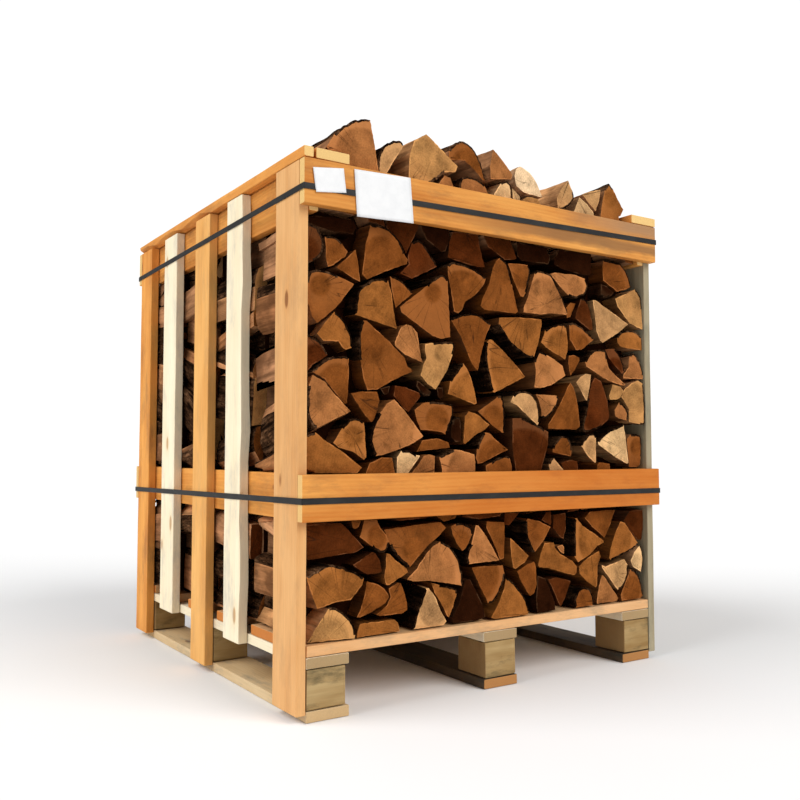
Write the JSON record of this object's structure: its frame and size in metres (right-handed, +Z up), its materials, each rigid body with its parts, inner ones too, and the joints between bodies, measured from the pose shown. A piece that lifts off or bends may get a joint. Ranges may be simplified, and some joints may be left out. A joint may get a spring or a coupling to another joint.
{
  "type": "firewood crate",
  "caption": "Open wooden crate on a pallet, filled with stacked and heaped split oak firewood, held by plastic straps.",
  "frame": {"origin": "on the ground under the middle of the crate's footprint", "axes": "+Z up, -Y out of the front with the two labels, +X to the right seen from the front"},
  "size_m": [1.0026, 1.0474, 1.2003],
  "materials": {
    "orange_pine": "sawn, orange",
    "pale_pine": "sawn, pale",
    "pallet_pine": "sawn",
    "block_wood": "sawn, weathered",
    "oak_log": "split, with bark",
    "strap": "matte",
    "paper": "matte"
  },
  "bodies": {
    "root": {"back_middle_rail": "orange_pine", "back_top_rail": "orange_pine", "block_left_back": "block_wood", "block_left_front": "block_wood", "block_left_middle": "block_wood", "block_middle_back": "block_wood", "block_middle_front": "block_wood", "block_middle_middle": "block_wood", "block_right_back": "block_wood", "block_right_front": "block_wood", "block_right_middle": "block_wood", "deck_board_1": "pallet_pine", "deck_board_2": "pallet_pine", "deck_board_3": "pallet_pine", "deck_board_4": "pallet_pine", "deck_board_5": "pallet_pine", "deck_board_6": "pallet_pine", "front_middle_rail": "orange_pine", "front_top_rail": "orange_pine", "heap_log_arched_half_round": "oak_log", "heap_log_bark_half_round": "oak_log", "heap_log_brown_wedge": "oak_log", "heap_log_dark_wedge": "oak_log", "heap_log_large_wedge": "oak_log", "heap_log_pale_half_round": "oak_log", "heap_log_pink_wedge": "oak_log", "heap_log_striped_wedge": "oak_log", "heap_log_tan_wedge": "oak_log", "large_label": "paper", "left_cap_board": "orange_pine", "left_cap_strip": "orange_pine", "left_corner_board_back": "orange_pine", "left_corner_board_front": "orange_pine", "left_middle_board": "orange_pine", "left_middle_rail": "orange_pine", "left_slat_back": "pale_pine", "left_slat_front": "pale_pine", "left_top_rail": "orange_pine", "log_row_back": "oak_log", "log_row_front": "oak_log", "log_row_second": "oak_log", "log_row_third": "oak_log", "lower_strap": "strap", "right_cap_board": "orange_pine", "right_corner_board_back": "orange_pine", "right_corner_board_front": "orange_pine", "right_middle_board": "orange_pine", "right_middle_rail": "orange_pine", "right_slat_back": "pale_pine", "right_slat_front": "pale_pine", "right_top_rail": "orange_pine", "runner_left": "pallet_pine", "runner_middle": "pallet_pine", "runner_right": "pallet_pine", "small_label": "paper", "stringer_left": "pale_pine", "stringer_middle": "pale_pine", "stringer_right": "pale_pine", "upper_strap": "strap"}
  },
  "joints": []
}
